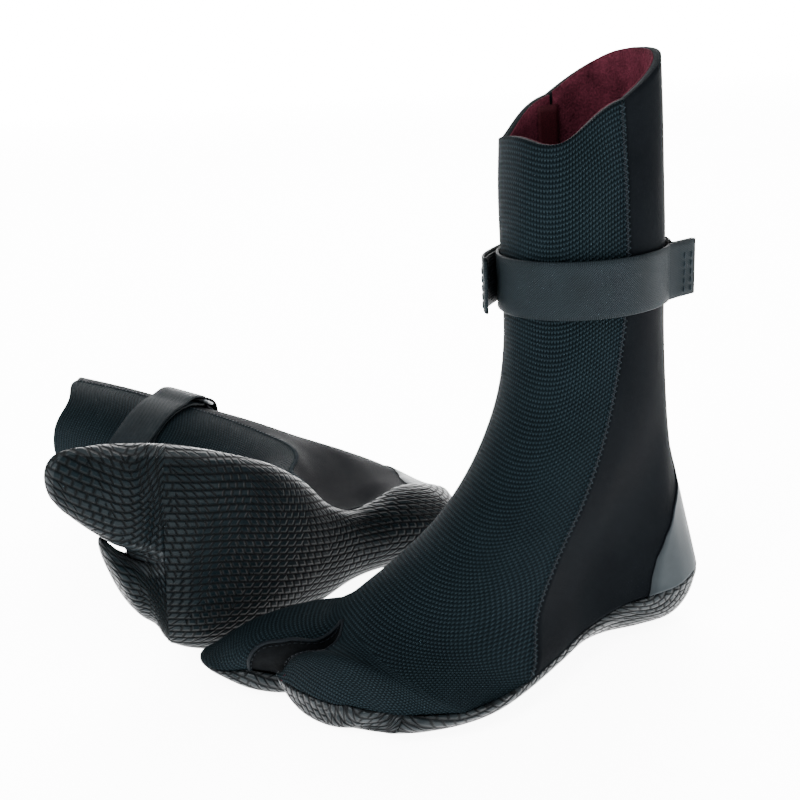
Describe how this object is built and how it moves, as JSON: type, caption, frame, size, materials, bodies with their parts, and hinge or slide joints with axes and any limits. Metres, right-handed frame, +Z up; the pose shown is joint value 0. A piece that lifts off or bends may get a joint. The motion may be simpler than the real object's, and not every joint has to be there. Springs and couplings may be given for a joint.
{
  "type": "split-toe neoprene boots",
  "caption": "Pair of split-toe neoprene surf boots with a scaled rubber sole and a hook-and-loop shaft strap, one standing and one lying on its side.",
  "frame": {"origin": "middle of the pair's bounding box, on the floor", "axes": "+X to the right and +Y to the back of the pair, +Z up; the boots' toes point to -X"},
  "size_m": [0.4194, 0.3606, 0.3219],
  "materials": {
    "sole": "scaled tread",
    "footbed": "plush",
    "knit": "knitted",
    "jersey": "smooth",
    "gusset": "smooth",
    "lining": "plush",
    "patch": "satin",
    "thread": "thread",
    "tape": "smooth",
    "webbing": "twill weave",
    "loop_tape": "fuzzy",
    "hook": "hooked",
    "ring": "satin"
  },
  "bodies": {
    "left_boot": {"left_outsole": "sole", "left_footbed": "footbed", "left_front_panel": "knit", "left_rear_panel": "jersey", "left_toe_gusset": "gusset", "left_front_lining": "lining", "left_rear_lining": "lining", "left_heel_patch": "patch", "left_lateral_seam": "thread", "left_medial_seam": "thread", "left_slot_seam": "gusset", "left_lateral_seam_tape": "tape", "left_medial_seam_tape": "tape", "left_strap_band": "webbing", "left_strap_anchor": "loop_tape", "left_strap_stitching": "thread", "left_strap_tack": "webbing"},
    "left_tail": {"left_strap_tail": "webbing", "left_strap_hook_patch": "hook", "left_tail_stitching": "thread"},
    "left_ring": {"left_strap_ring": "ring"},
    "right_boot": {"right_outsole": "sole", "right_footbed": "footbed", "right_front_panel": "knit", "right_rear_panel": "jersey", "right_toe_gusset": "gusset", "right_front_lining": "lining", "right_rear_lining": "lining", "right_heel_patch": "patch", "right_lateral_seam": "thread", "right_medial_seam": "thread", "right_slot_seam": "gusset", "right_lateral_seam_tape": "tape", "right_medial_seam_tape": "tape", "right_strap_band": "webbing", "right_strap_anchor": "loop_tape", "right_strap_stitching": "thread", "right_strap_tack": "webbing"},
    "right_tail": {"right_strap_tail": "webbing", "right_strap_hook_patch": "hook", "right_tail_stitching": "thread"},
    "right_ring": {"right_strap_ring": "ring"}
  },
  "joints": [
    {"name": "left_tail_fold", "type": "hinge", "parent": "left_boot", "child": "left_tail", "pos_m": [0.14026, -0.04034, 0.2129], "axis": [0, 0, -1], "range_deg": [0, 110]},
    {"name": "left_ring_swing", "type": "hinge", "parent": "left_boot", "child": "left_ring", "pos_m": [0.14987, -0.04372, 0.2129], "axis": [0, 0, 1], "range_deg": [-5, 5]},
    {"name": "right_boot_away", "type": "slide", "parent": "left_boot", "child": "right_boot", "axis": [0, 1, 0], "range_m": [0, 0.3]},
    {"name": "right_tail_fold", "type": "hinge", "parent": "right_boot", "child": "right_tail", "pos_m": [-0.10901, 0.11662, 0.09694], "axis": [-0.8743, 0.4642, 0.1419], "range_deg": [0, 110]},
    {"name": "right_ring_swing", "type": "hinge", "parent": "right_boot", "child": "right_ring", "pos_m": [-0.10697, 0.12284, 0.08914], "axis": [-0.8743, 0.4642, 0.1419], "range_deg": [-5, 5]}
  ]
}
